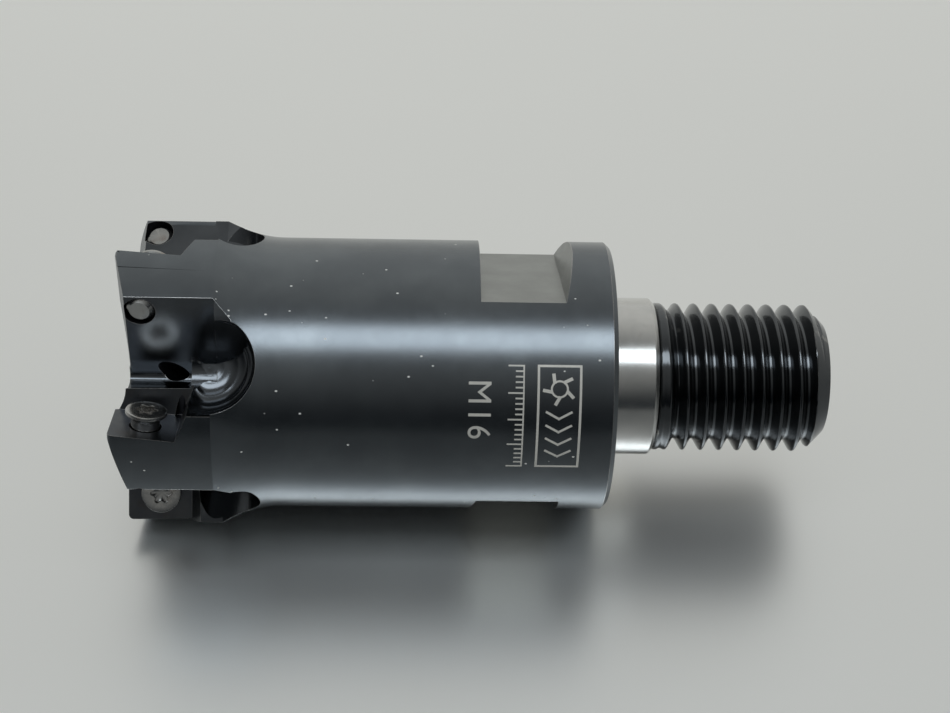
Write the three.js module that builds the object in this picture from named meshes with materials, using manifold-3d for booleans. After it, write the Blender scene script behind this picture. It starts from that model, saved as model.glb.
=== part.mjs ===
// Screw-in indexable face mill: a five-tooth head on a round neck, two wrench
// flats, a ground locating pilot and a threaded stub, with five seat screws.
// Millimetres, +Z up. The tool lies on two of its teeth with its axis along X:
// the teeth point to -X and the threaded end to +X.
import * as THREE from "three";
import { mergeVertices } from "three/addons/utils/BufferGeometryUtils.js";
import Module from "manifold-3d";

const wasm = await Module();
wasm.setup();

// ---- driving dimensions: stations along the axis, measured from the shoulder
const FRONT_X = -51.6;
const LAND_END_X = -41.2;
const HEAD_END_X = -33.5;
const PILOT_LENGTH = 5.0;
const STUB_END_X = 23.5;

// ---- driving dimensions: diameters
const LAND_RADIUS = 16.4;
const NECK_RADIUS = 14.5;
const PILOT_RADIUS = 8.5;
const THREAD_RADIUS = 8.0;
const BORE_RADIUS = 2.5;
const NECK_FILLET_RADIUS = 12.0;
const FRONT_RECESS = 1.3;

// ---- teeth: each is placed by its seat angle, turning from +Z towards -Y
const TEETH = 5;
const TOOTH_PITCH = 360 / TEETH;
const FIRST_SEAT_ANGLE = 64 - 2 * TOOTH_PITCH;

// ---- one seat, measured in the tooth's own frame
const SEAT_INNER_RADIUS = 9.95;
const SEAT_AXIAL_LENGTH = 6.8;
const SEAT_FLOOR_SETBACK = 0.46;
const AXIAL_RAKE = 6.0;
const BACK_WALL_LEAN = 12.0;
const AXIAL_WALL_LEAN = 17.0;
const END_RELIEF = 14.0;
const SCREW_RADIAL_POSITION = 13.3;
const SCREW_SETBACK = 3.5;
const SCREW_HOLE_RADIUS = 1.65;
const HOLE_MOUTH_RADIUS = 2.25;
const HOLE_MOUTH_DEPTH = 0.15;

// ---- one gullet
const LEADING_FACE_OFFSET = 2.0;
const TRAILING_FACE_OFFSETS = [6.9, 6.2, 6.9, 6.4, 6.4];
const GULLET_FILLET = 2.0;
const BOWL_RADIUS = 5.2;
const BOWL_X = -42.0;
const BOWL_FLOOR_DISTANCE = 8.9;
const BOWL_WALL_DISTANCE = 12.4;
const BOWL_ANGLE = -26.0;
const BOWL_FRONT_SHARE = 0.5;
const CORNER_FACET_RUN = 1.8;
const CORNER_FACET_WIDTH = 1.3;
const OUTLET_RADIUS = 1.0;
const OUTLET_ANGLE = -22.5;

// ---- wrench flats, pilot and thread
const FLAT_HALF_WIDTH = 11.0;
const FLAT_START_X = -14.05;
const FLAT_END_X = -5.3;
const FLAT_WALL_LEAN = 17.0;
const FLAT_ANGLE = -30.7;
const SHOULDER_CHAMFER = 0.5;
const UNDERCUT_WIDTH = 0.8;
const UNDERCUT_DEPTH = 0.3;
const PILOT_CHAMFER = 0.45;
const THREAD_PITCH = 2.0;
const THREAD_DEPTH = 1.23;
const CREST_X = 7.53;
const CREST_ANGLE = -49.5;
const STUB_CHAMFER = 1.9;

// ---- one seat screw, measured along its own axis from the seat floor
const SCREW_RADIUS = 1.5;
const SCREW_HEAD_RADIUS = 2.12;
const SCREW_TOP = 1.85;
const SCREW_BOTTOM = -5.7;
const TORX_OUTER_RADIUS = 1.12;
const TORX_INNER_RADIUS = 0.8;
const TORX_DEPTH = 0.95;

const ROUND_STEPS = 80;
const rad = THREE.MathUtils.degToRad;

// ---- solids
function toSolid(geometry) {
  const bare = geometry.index ? geometry.clone() : mergeVertices(geometry, 1e-5);
  bare.deleteAttribute("normal");
  bare.deleteAttribute("uv");
  const merged = mergeVertices(bare, 1e-5);
  const mesh = new wasm.Mesh({
    numProp: 3,
    vertProperties: new Float32Array(merged.attributes.position.array),
    triVerts: new Uint32Array(merged.index.array),
  });
  return new wasm.Manifold(mesh);
}

function toGeometry(solid) {
  const mesh = solid.getMesh();
  const geometry = new THREE.BufferGeometry();
  geometry.setAttribute("position", new THREE.BufferAttribute(mesh.vertProperties.slice(), 3));
  geometry.setIndex(new THREE.BufferAttribute(mesh.triVerts.slice(), 1));
  geometry.computeVertexNormals();
  return geometry;
}

// A turned body whose profile is listed as [station along X, radius].
function turned(profile, steps = ROUND_STEPS) {
  const points = profile.map(([x, radius]) => new THREE.Vector2(radius, x));
  const geometry = new THREE.LatheGeometry(points, steps);
  geometry.rotateZ(-Math.PI / 2);
  return toSolid(geometry);
}

// Turns a geometry made around straight up (+Z) to an angle about the axis.
function atAngle(geometry, degrees) {
  return geometry.clone().rotateX(rad(degrees));
}

// The tooth frame before it is turned: X along the axis, +Z outwards through
// the seat, and -Y behind the seat, away from the cutting direction.
function toothPoint(x, outward, behind) {
  return new THREE.Vector3(x, -behind, outward);
}

// Seat pocket: an open box whose floor has axial rake and whose inner and
// axial walls lean outwards.
function seatPocket() {
  const height = 4.6;
  const width = 9.0;
  const length = SEAT_AXIAL_LENGTH + 4.0;
  const geometry = new THREE.BoxGeometry(length, height, width);
  geometry.translate(SEAT_AXIAL_LENGTH - length / 2, height / 2, SEAT_INNER_RADIUS + width / 2);
  const corner = geometry.attributes.position;
  for (let i = 0; i < corner.count; i += 1) {
    const rise = corner.getY(i);
    if (corner.getX(i) > 0) {
      corner.setX(i, corner.getX(i) + rise * Math.tan(rad(AXIAL_WALL_LEAN)));
    }
    if (corner.getZ(i) < SEAT_INNER_RADIUS + 1) {
      corner.setZ(i, corner.getZ(i) - rise * Math.tan(rad(BACK_WALL_LEAN)));
    }
  }
  return toFloor(geometry);
}

// Moves a geometry built on the flat seat floor (X = 0 at the front edge, +Y
// standing up from the floor) onto the raked floor.
function toFloor(geometry) {
  geometry.translate(-SCREW_SETBACK, 0, 0);
  geometry.rotateZ(rad(-AXIAL_RAKE));
  geometry.translate(FRONT_X + SCREW_SETBACK, -SEAT_FLOOR_SETBACK, 0);
  return geometry;
}

function screwHole() {
  const depth = 9.0;
  const geometry = new THREE.CylinderGeometry(SCREW_HOLE_RADIUS, SCREW_HOLE_RADIUS, depth + 1, 24);
  geometry.translate(SCREW_SETBACK, (1 - depth) / 2, SCREW_RADIAL_POSITION);
  return toFloor(geometry);
}

// A shallow relief round the mouth of the screw hole, just wider than the head.
function holeMouth() {
  const height = 1.0;
  const geometry = new THREE.CylinderGeometry(HOLE_MOUTH_RADIUS, HOLE_MOUTH_RADIUS, height, 24);
  geometry.translate(SCREW_SETBACK, height / 2 - HOLE_MOUTH_DEPTH, SCREW_RADIAL_POSITION);
  return toFloor(geometry);
}

function cornerRelief() {
  const geometry = new THREE.CylinderGeometry(0.55, 0.55, 3.4, 16);
  geometry.translate(SEAT_AXIAL_LENGTH - 0.1, 1.6, SEAT_INNER_RADIUS + 0.1);
  return toFloor(geometry);
}

// End relief: the front of each tooth falls back behind its cutting edge.
function endRelief() {
  const geometry = new THREE.BoxGeometry(6, 12, 12);
  geometry.translate(-3, -6, 6 + SEAT_INNER_RADIUS - 4.2);
  geometry.rotateZ(rad(END_RELIEF));
  geometry.translate(FRONT_X, -SEAT_FLOOR_SETBACK, 0);
  return geometry;
}

// Gullet: a wedge between two planes with a rounded bottom, closed by a bowl.
// The trailing face belongs to the tooth ahead, whose offset is given.
function gulletWedge(trailingOffset) {
  const trailing = rad(-TOOTH_PITCH);
  const tilt = Math.PI / 2 + trailing;
  const along = (trailingOffset + LEADING_FACE_OFFSET * Math.sin(tilt)) / Math.cos(tilt);
  const vertex = new THREE.Vector2(along, -LEADING_FACE_OFFSET);
  const tangent = GULLET_FILLET / Math.tan(rad(TOOTH_PITCH / 2));
  const lead = new THREE.Vector2(1, 0);
  const trail = new THREE.Vector2(Math.cos(trailing), Math.sin(trailing));
  const centre = vertex.clone().addScaledVector(lead, tangent);
  centre.y -= GULLET_FILLET;
  const shape = new THREE.Shape();
  const reach = 26.0;
  const leadEnd = vertex.clone().addScaledVector(lead, reach);
  const trailEnd = vertex.clone().addScaledVector(trail, reach);
  const trailTangent = vertex.clone().addScaledVector(trail, tangent);
  const trailAngle = Math.atan2(trailTangent.y - centre.y, trailTangent.x - centre.x);
  shape.moveTo(leadEnd.x, leadEnd.y);
  shape.lineTo(centre.x, vertex.y);
  shape.absarc(centre.x, centre.y, GULLET_FILLET, Math.PI / 2, trailAngle + 2 * Math.PI, false);
  shape.lineTo(trailEnd.x, trailEnd.y);
  const depth = LAND_END_X - FRONT_X + 4;
  const geometry = new THREE.ExtrudeGeometry(shape, { depth, bevelEnabled: false, curveSegments: 6 });
  const position = geometry.attributes.position;
  for (let i = 0; i < position.count; i += 1) {
    const x = FRONT_X - 4 + position.getZ(i);
    const point = toothPoint(x, position.getX(i), position.getY(i));
    position.setXYZ(i, point.x, point.y, point.z);
  }
  return geometry;
}

// The bowl is turned about a radial line: an upright wall over a rounded floor.
function gulletBowl() {
  const points = [new THREE.Vector2(0, BOWL_FLOOR_DISTANCE)];
  const drop = BOWL_WALL_DISTANCE - BOWL_FLOOR_DISTANCE;
  for (let i = 1; i <= 8; i += 1) {
    const angle = (i / 8) * (Math.PI / 2);
    const height = BOWL_WALL_DISTANCE - drop * Math.cos(angle);
    points.push(new THREE.Vector2(BOWL_RADIUS * Math.sin(angle), height));
  }
  points.push(new THREE.Vector2(BOWL_RADIUS, LAND_RADIUS + 2));
  points.push(new THREE.Vector2(0, LAND_RADIUS + 2));
  const geometry = new THREE.LatheGeometry(points, 28);
  geometry.rotateX(Math.PI / 2);
  const position = geometry.attributes.position;
  for (let i = 0; i < position.count; i += 1) {
    if (position.getX(i) < 0) {
      position.setX(i, position.getX(i) * BOWL_FRONT_SHARE);
    }
  }
  geometry.translate(BOWL_X, 0, 0);
  return atAngle(geometry, BOWL_ANGLE);
}

// A slanting facet that takes off the corner between a trailing face and the
// bowl. It is built on the tooth ahead of the gullet.
function cornerFacet(trailingOffset) {
  const shape = new THREE.Shape();
  shape.moveTo(LAND_END_X - 1, trailingOffset + 0.001);
  shape.lineTo(LAND_END_X, trailingOffset + 0.001);
  shape.lineTo(LAND_END_X + CORNER_FACET_RUN, trailingOffset + CORNER_FACET_WIDTH);
  shape.lineTo(LAND_END_X + CORNER_FACET_RUN, trailingOffset + 2.4);
  shape.lineTo(LAND_END_X - 1, trailingOffset + 2.4);
  const geometry = new THREE.ExtrudeGeometry(shape, { depth: 7, bevelEnabled: false });
  const position = geometry.attributes.position;
  for (let i = 0; i < position.count; i += 1) {
    const point = toothPoint(position.getX(i), 18 - position.getZ(i), position.getY(i));
    position.setXYZ(i, point.x, point.y, point.z);
  }
  return geometry;
}

function coolantOutlet() {
  const start = toothPoint(-37.7, 0, 0);
  const end = toothPoint(-47.1, 9.6, 0);
  const length = start.distanceTo(end) + 2.5;
  const geometry = new THREE.CylinderGeometry(OUTLET_RADIUS, OUTLET_RADIUS, length, 16);
  geometry.translate(0, length / 2, 0);
  const turn = new THREE.Quaternion();
  turn.setFromUnitVectors(new THREE.Vector3(0, 1, 0), end.clone().sub(start).normalize());
  geometry.applyQuaternion(turn);
  geometry.translate(start.x, start.y, start.z);
  return atAngle(geometry, OUTLET_ANGLE);
}

function bore(fromX, toX) {
  const length = toX - fromX;
  const geometry = new THREE.CylinderGeometry(BORE_RADIUS, BORE_RADIUS, length, 32);
  geometry.rotateZ(Math.PI / 2);
  geometry.translate((fromX + toX) / 2, 0, 0);
  return toSolid(geometry);
}

// ---- the four zones of the body
function headSolid() {
  const profile = [
    [FRONT_X + FRONT_RECESS, 0],
    [FRONT_X + FRONT_RECESS, SEAT_INNER_RADIUS - 0.35],
    [FRONT_X, SEAT_INNER_RADIUS + 0.15],
    [FRONT_X, LAND_RADIUS - 0.5],
    [FRONT_X + 0.5, LAND_RADIUS],
  ];
  const drop = LAND_RADIUS - NECK_RADIUS;
  const sweep = Math.acos((NECK_FILLET_RADIUS - drop) / NECK_FILLET_RADIUS);
  const run = NECK_FILLET_RADIUS * Math.sin(sweep);
  for (let i = 0; i <= 8; i += 1) {
    const angle = sweep * (1 - i / 8);
    const x = LAND_END_X + run - NECK_FILLET_RADIUS * Math.sin(angle);
    profile.push([x, NECK_RADIUS + NECK_FILLET_RADIUS * (1 - Math.cos(angle))]);
  }
  profile.push([HEAD_END_X, NECK_RADIUS], [HEAD_END_X, 0]);
  let solid = turned(profile);
  const cutters = [gulletBowl(), endRelief(), coolantOutlet()];
  cutters.push(seatPocket(), cornerRelief(), screwHole(), holeMouth());
  for (let tooth = 0; tooth < TEETH; tooth += 1) {
    const angle = FIRST_SEAT_ANGLE + tooth * TOOTH_PITCH;
    const ownOffset = TRAILING_FACE_OFFSETS[tooth];
    const aheadOffset = TRAILING_FACE_OFFSETS[(tooth + TEETH - 1) % TEETH];
    for (const cutter of [gulletWedge(aheadOffset), cornerFacet(ownOffset), ...cutters]) {
      solid = solid.subtract(toSolid(atAngle(cutter, angle)));
    }
  }
  return solid.subtract(bore(-38.5, HEAD_END_X + 1));
}

// A cutter for one wrench flat: a flat floor, one upright and one leaning wall.
function flatCutter(leanAtEnd) {
  const rise = 6.0;
  const lean = rise * Math.tan(rad(FLAT_WALL_LEAN));
  const shape = new THREE.Shape();
  shape.moveTo(FLAT_START_X, FLAT_HALF_WIDTH);
  shape.lineTo(FLAT_END_X, FLAT_HALF_WIDTH);
  shape.lineTo(FLAT_END_X + (leanAtEnd ? lean : 0), FLAT_HALF_WIDTH + rise);
  shape.lineTo(FLAT_START_X - (leanAtEnd ? 0 : lean), FLAT_HALF_WIDTH + rise);
  const geometry = new THREE.ExtrudeGeometry(shape, { depth: 40, bevelEnabled: false });
  geometry.translate(0, 0, -20);
  geometry.rotateX(Math.PI / 2);
  return geometry;
}

function shankSolid() {
  const profile = [
    [HEAD_END_X, 0],
    [HEAD_END_X, NECK_RADIUS],
    [-SHOULDER_CHAMFER, NECK_RADIUS],
    [0, NECK_RADIUS - SHOULDER_CHAMFER],
    [0, PILOT_RADIUS + UNDERCUT_WIDTH],
    [-UNDERCUT_DEPTH, PILOT_RADIUS + UNDERCUT_WIDTH],
    [-UNDERCUT_DEPTH, PILOT_RADIUS],
    [0, PILOT_RADIUS],
    [0, 0],
  ];
  let solid = turned(profile);
  solid = solid.subtract(toSolid(atAngle(flatCutter(true), FLAT_ANGLE)));
  solid = solid.subtract(toSolid(atAngle(flatCutter(false), FLAT_ANGLE + 180)));
  return solid.subtract(bore(HEAD_END_X - 1, 1));
}

function pilotSolid() {
  const profile = [
    [0, 0],
    [0, PILOT_RADIUS],
    [PILOT_LENGTH - PILOT_CHAMFER, PILOT_RADIUS],
    [PILOT_LENGTH, PILOT_RADIUS - PILOT_CHAMFER],
    [PILOT_LENGTH, 0],
  ];
  return turned(profile).subtract(bore(-1, PILOT_LENGTH + 1));
}

// One continuous right-hand groove: a straight bar of V section, bent round
// the axis while it advances by one pitch per turn.
function threadGroove() {
  const rootFlat = 0.15;
  const over = 0.1;
  const topHalf = THREAD_PITCH / 2 - 0.13 + over * Math.tan(rad(30));
  const shape = new THREE.Shape();
  shape.moveTo(THREAD_RADIUS - THREAD_DEPTH, -rootFlat);
  shape.lineTo(THREAD_RADIUS + over, -topHalf);
  shape.lineTo(THREAD_RADIUS + over, topHalf);
  shape.lineTo(THREAD_RADIUS - THREAD_DEPTH, rootFlat);
  const turns = Math.ceil((STUB_END_X - CREST_X) / THREAD_PITCH) + 1.5;
  const steps = Math.round(turns * 28);
  const sweep = turns * 2 * Math.PI;
  const geometry = new THREE.ExtrudeGeometry(shape, { depth: sweep, steps, bevelEnabled: false });
  const position = geometry.attributes.position;
  const rootAtZero = CREST_X - THREAD_PITCH * (CREST_ANGLE / 360 + 0.5);
  for (let i = 0; i < position.count; i += 1) {
    const radius = position.getX(i);
    const angle = sweep - position.getZ(i);
    const x = rootAtZero + position.getY(i) + (THREAD_PITCH * angle) / (2 * Math.PI);
    position.setXYZ(i, x, -radius * Math.sin(angle), radius * Math.cos(angle));
  }
  return toSolid(geometry);
}

function stubSolid() {
  const profile = [
    [PILOT_LENGTH, 0],
    [PILOT_LENGTH, THREAD_RADIUS],
    [STUB_END_X - STUB_CHAMFER, THREAD_RADIUS],
    [STUB_END_X, THREAD_RADIUS - STUB_CHAMFER],
    [STUB_END_X, 0],
  ];
  const blank = turned(profile, 56);
  return blank.subtract(threadGroove()).subtract(bore(PILOT_LENGTH - 1, STUB_END_X + 1));
}

// ---- the seat screw
function torxShape() {
  const shape = new THREE.Shape();
  const steps = 36;
  for (let i = 0; i < steps; i += 1) {
    const angle = (i / steps) * 2 * Math.PI;
    const wave = (1 + Math.cos(6 * angle)) / 2;
    const radius = TORX_INNER_RADIUS + (TORX_OUTER_RADIUS - TORX_INNER_RADIUS) * wave;
    const x = radius * Math.cos(angle);
    const y = radius * Math.sin(angle);
    if (i === 0) {
      shape.moveTo(x, y);
    } else {
      shape.lineTo(x, y);
    }
  }
  shape.closePath();
  return shape;
}

function screwSolid() {
  const profile = [
    [0, SCREW_BOTTOM],
    [SCREW_RADIUS - 0.45, SCREW_BOTTOM],
    [SCREW_RADIUS, SCREW_BOTTOM + 0.45],
    [SCREW_RADIUS, SCREW_TOP - 1.0],
    [SCREW_HEAD_RADIUS, SCREW_TOP - 0.38],
    [SCREW_HEAD_RADIUS, SCREW_TOP - 0.15],
    [SCREW_HEAD_RADIUS - 0.15, SCREW_TOP],
    [0, SCREW_TOP],
  ];
  const points = profile.map(([radius, y]) => new THREE.Vector2(radius, y));
  const blank = toSolid(new THREE.LatheGeometry(points, 32));
  const options = { depth: TORX_DEPTH + 1, bevelEnabled: false };
  const socket = new THREE.ExtrudeGeometry(torxShape(), options);
  socket.rotateX(-Math.PI / 2);
  socket.translate(0, SCREW_TOP - TORX_DEPTH, 0);
  return blank.subtract(toSolid(socket));
}

// ---- assembly
function finish(color, roughness, metalness) {
  return new THREE.MeshStandardMaterial({ color, roughness, metalness });
}

const tool = new THREE.Group();
const zones = [
  ["cutter_head", headSolid(), finish(0x1b1d21, 0.38, 0.75)],
  ["body_shank", shankSolid(), finish(0x202329, 0.4, 0.75)],
  ["pilot_collar", pilotSolid(), finish(0xb9bab6, 0.22, 1.0)],
  ["threaded_stub", stubSolid(), finish(0x16171a, 0.34, 0.75)],
];
for (const [name, solid, material] of zones) {
  const mesh = new THREE.Mesh(toGeometry(solid), material);
  mesh.name = name;
  tool.add(mesh);
}

const screwGeometry = toGeometry(screwSolid());
for (let tooth = 0; tooth < TEETH; tooth += 1) {
  const seat = new THREE.Group();
  seat.rotation.x = rad(FIRST_SEAT_ANGLE + tooth * TOOTH_PITCH);
  const screw = new THREE.Mesh(screwGeometry.clone(), finish(0x77777a, 0.3, 0.9));
  screw.name = `insert_screw_${tooth + 1}`;
  screw.position.copy(toothPoint(FRONT_X + SCREW_SETBACK, SCREW_RADIAL_POSITION, SEAT_FLOOR_SETBACK));
  screw.rotation.z = rad(-AXIAL_RAKE);
  seat.add(screw);
  tool.add(seat);
}

// The tool is centred along X and rests on Z = 0.
tool.updateMatrixWorld(true);
const extent = new THREE.Box3().setFromObject(tool, true);
tool.position.x = -(FRONT_X + STUB_END_X) / 2;
tool.position.z = -extent.min.z;

export default tool;
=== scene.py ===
"""A screw-in face mill lying on a pale bench.

The tool is a one-piece steel body (toothed head, round neck with wrench flats,
ground pilot and threaded stub) with a clamping screw standing in each of its
five open insert seats. Each piece is built in millimetres in the tool's own
frame, with the axis along X and the shoulder face at x = 0, and is then scaled
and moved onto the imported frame.
"""

import logging
import math
from collections.abc import Sequence
from dataclasses import dataclass
from enum import Enum

import bmesh
import bpy
from mathutils import Matrix, Vector


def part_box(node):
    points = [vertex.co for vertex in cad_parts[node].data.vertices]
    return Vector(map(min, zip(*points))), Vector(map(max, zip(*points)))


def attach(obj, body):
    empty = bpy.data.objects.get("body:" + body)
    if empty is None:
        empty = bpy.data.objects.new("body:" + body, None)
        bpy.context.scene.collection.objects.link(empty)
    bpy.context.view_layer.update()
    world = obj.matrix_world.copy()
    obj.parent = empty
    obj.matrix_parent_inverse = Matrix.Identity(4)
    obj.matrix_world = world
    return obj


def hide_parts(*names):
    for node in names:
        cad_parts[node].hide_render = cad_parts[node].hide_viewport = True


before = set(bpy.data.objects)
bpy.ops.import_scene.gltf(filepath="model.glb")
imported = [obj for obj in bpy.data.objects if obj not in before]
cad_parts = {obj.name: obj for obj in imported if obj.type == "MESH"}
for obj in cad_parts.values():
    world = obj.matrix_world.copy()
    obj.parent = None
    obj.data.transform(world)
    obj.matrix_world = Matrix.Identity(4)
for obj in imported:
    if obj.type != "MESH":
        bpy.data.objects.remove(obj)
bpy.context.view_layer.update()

MM = 0.001
BODY = "cutter_body"
TEETH = 5
TOOTH_PITCH = 360 / TEETH
SEAT_THREE_ANGLE = 64.0
FIRST_SEAT_ANGLE = SEAT_THREE_ANGLE - 2 * TOOTH_PITCH

logging.basicConfig(level=logging.INFO, format="%(name)s: %(message)s")
log = logging.getLogger("face_mill")

Point2 = tuple[float, float]
Colour = tuple[float, float, float]
BUILT: dict[str, bpy.types.Material] = {}


# ---------------------------------------------------------------- node trees


class Value:
    """A number flowing through a node tree, with arithmetic on it."""

    def __init__(self, book: "NodeBook", socket: bpy.types.NodeSocket) -> None:
        """Wraps one output socket of a tree.

        Args:
            book: The tree builder that the socket belongs to.
            socket: The output socket.
        """
        self.book = book
        self.socket = socket

    def _math(self, operation: str, *values: "Value | float") -> "Value":
        """Adds one Math node over the given values."""
        return self.book.add(
            "ShaderNodeMath", {"operation": operation}, dict(enumerate(values))
        )

    def __add__(self, other: "Value | float") -> "Value":
        """self + other."""
        return self._math("ADD", self, other)

    def __radd__(self, other: float) -> "Value":
        """other + self."""
        return self._math("ADD", other, self)

    def __sub__(self, other: "Value | float") -> "Value":
        """self - other."""
        return self._math("SUBTRACT", self, other)

    def __rsub__(self, other: float) -> "Value":
        """other - self."""
        return self._math("SUBTRACT", other, self)

    def __mul__(self, other: "Value | float") -> "Value":
        """self * other."""
        return self._math("MULTIPLY", self, other)

    def __truediv__(self, other: "Value | float") -> "Value":
        """self / other."""
        return self._math("DIVIDE", self, other)

    def __neg__(self) -> "Value":
        """-self."""
        return self._math("MULTIPLY", self, -1.0)

    def function(self, operation: str, *others: "Value | float") -> "Value":
        """Any other Math operation with self as its first value.

        Args:
            operation: The Math node's operation, such as "SINE".
            others: Its further values.

        Returns:
            The result.
        """
        return self._math(operation, self, *others)

    def step(self, low: float, high: float) -> "Value":
        """A smooth 0 to 1 ramp between two levels.

        Args:
            low: The level that gives 0.
            high: The level that gives 1. It may be below low.

        Returns:
            The ramp's value.
        """
        settings = {"interpolation_type": "SMOOTHSTEP", "clamp": True}
        levels = {"Value": self, "From Min": low, "From Max": high}
        return self.book.add("ShaderNodeMapRange", settings, levels)


class NodeBook:
    """Adds and links nodes in one shader or geometry tree."""

    def __init__(self, tree: bpy.types.NodeTree) -> None:
        """Takes the tree to write in.

        Args:
            tree: A node tree; nodes already in it are removed.
        """
        self.tree = tree
        tree.nodes.clear()

    def node(
        self,
        kind: str,
        settings: dict[str, object] | None = None,
        inputs: dict[str | int, object] | None = None,
    ) -> bpy.types.Node:
        """Adds one node of any type.

        Args:
            kind: The node's type name.
            settings: Its properties, set first; "stops" fills a colour ramp.
            inputs: Socket name or place to a value, a Value or a socket.

        Returns:
            The new node.
        """
        node = self.tree.nodes.new(kind)
        for key, value in (settings or {}).items():
            if key == "stops":
                self._fill_ramp(node, value)
            else:
                setattr(node, key, value)
        for key, value in (inputs or {}).items():
            self.feed(node.inputs[key], value)
        return node

    def add(
        self,
        kind: str,
        settings: dict[str, object] | None = None,
        inputs: dict[str | int, object] | None = None,
        output: str | int = 0,
    ) -> Value:
        """Adds one node and returns one of its outputs.

        Args:
            kind: The node's type name.
            settings: Its properties, set first.
            inputs: Socket name or place to a value, a Value or a socket.
            output: The name or place of the output to return.

        Returns:
            The chosen output.
        """
        return Value(self, self.node(kind, settings, inputs).outputs[output])

    def feed(self, socket: bpy.types.NodeSocket, value: object) -> None:
        """Gives an input socket a constant or a link.

        Args:
            socket: The input socket.
            value: A constant, a Value or an output socket.
        """
        if isinstance(value, Value):
            self.tree.links.new(value.socket, socket)
        elif isinstance(value, bpy.types.NodeSocket):
            self.tree.links.new(value, socket)
        elif isinstance(value, tuple) and len(value) == 3 and socket.type == "RGBA":
            socket.default_value = (*value, 1.0)
        else:
            socket.default_value = value

    @staticmethod
    def _fill_ramp(node: bpy.types.Node, stops: Sequence[tuple[float, Colour]]) -> None:
        """Sets a colour ramp's stops, each a position and a colour."""
        ramp = node.color_ramp
        while len(ramp.elements) < len(stops):
            ramp.elements.new(1.0)
        for element, (position, colour) in zip(ramp.elements, stops):
            element.position = position
            element.color = (*colour, 1.0)

    def mix(self, factor: Value | float, first: object, second: object) -> Value:
        """Blends two colours.

        Args:
            factor: 0 gives the first colour and 1 the second.
            first: A colour or a Value carrying one.
            second: A colour or a Value carrying one.

        Returns:
            The blended colour.
        """
        settings = {"data_type": "RGBA", "clamp_factor": True}
        inputs = {0: factor, 6: first, 7: second}
        return self.add("ShaderNodeMix", settings, inputs, 2)

    def combine(self, x: object, y: object, z: object) -> Value:
        """A vector from three numbers."""
        return self.add("ShaderNodeCombineXYZ", None, {0: x, 1: y, 2: z})

    def split(self, vector: Value) -> tuple[Value, Value, Value]:
        """The three numbers of a vector."""
        node = self.node("ShaderNodeSeparateXYZ", None, {0: vector})
        return tuple(Value(self, output) for output in node.outputs[:3])


# ------------------------------------------------------------------ finishes


class Grain(Enum):
    """The direction of a surface's machining lines."""

    TURNED = "lines round the axis"
    MILLED = "arcs left by an end mill"
    PLAIN = "no lines"


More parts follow.
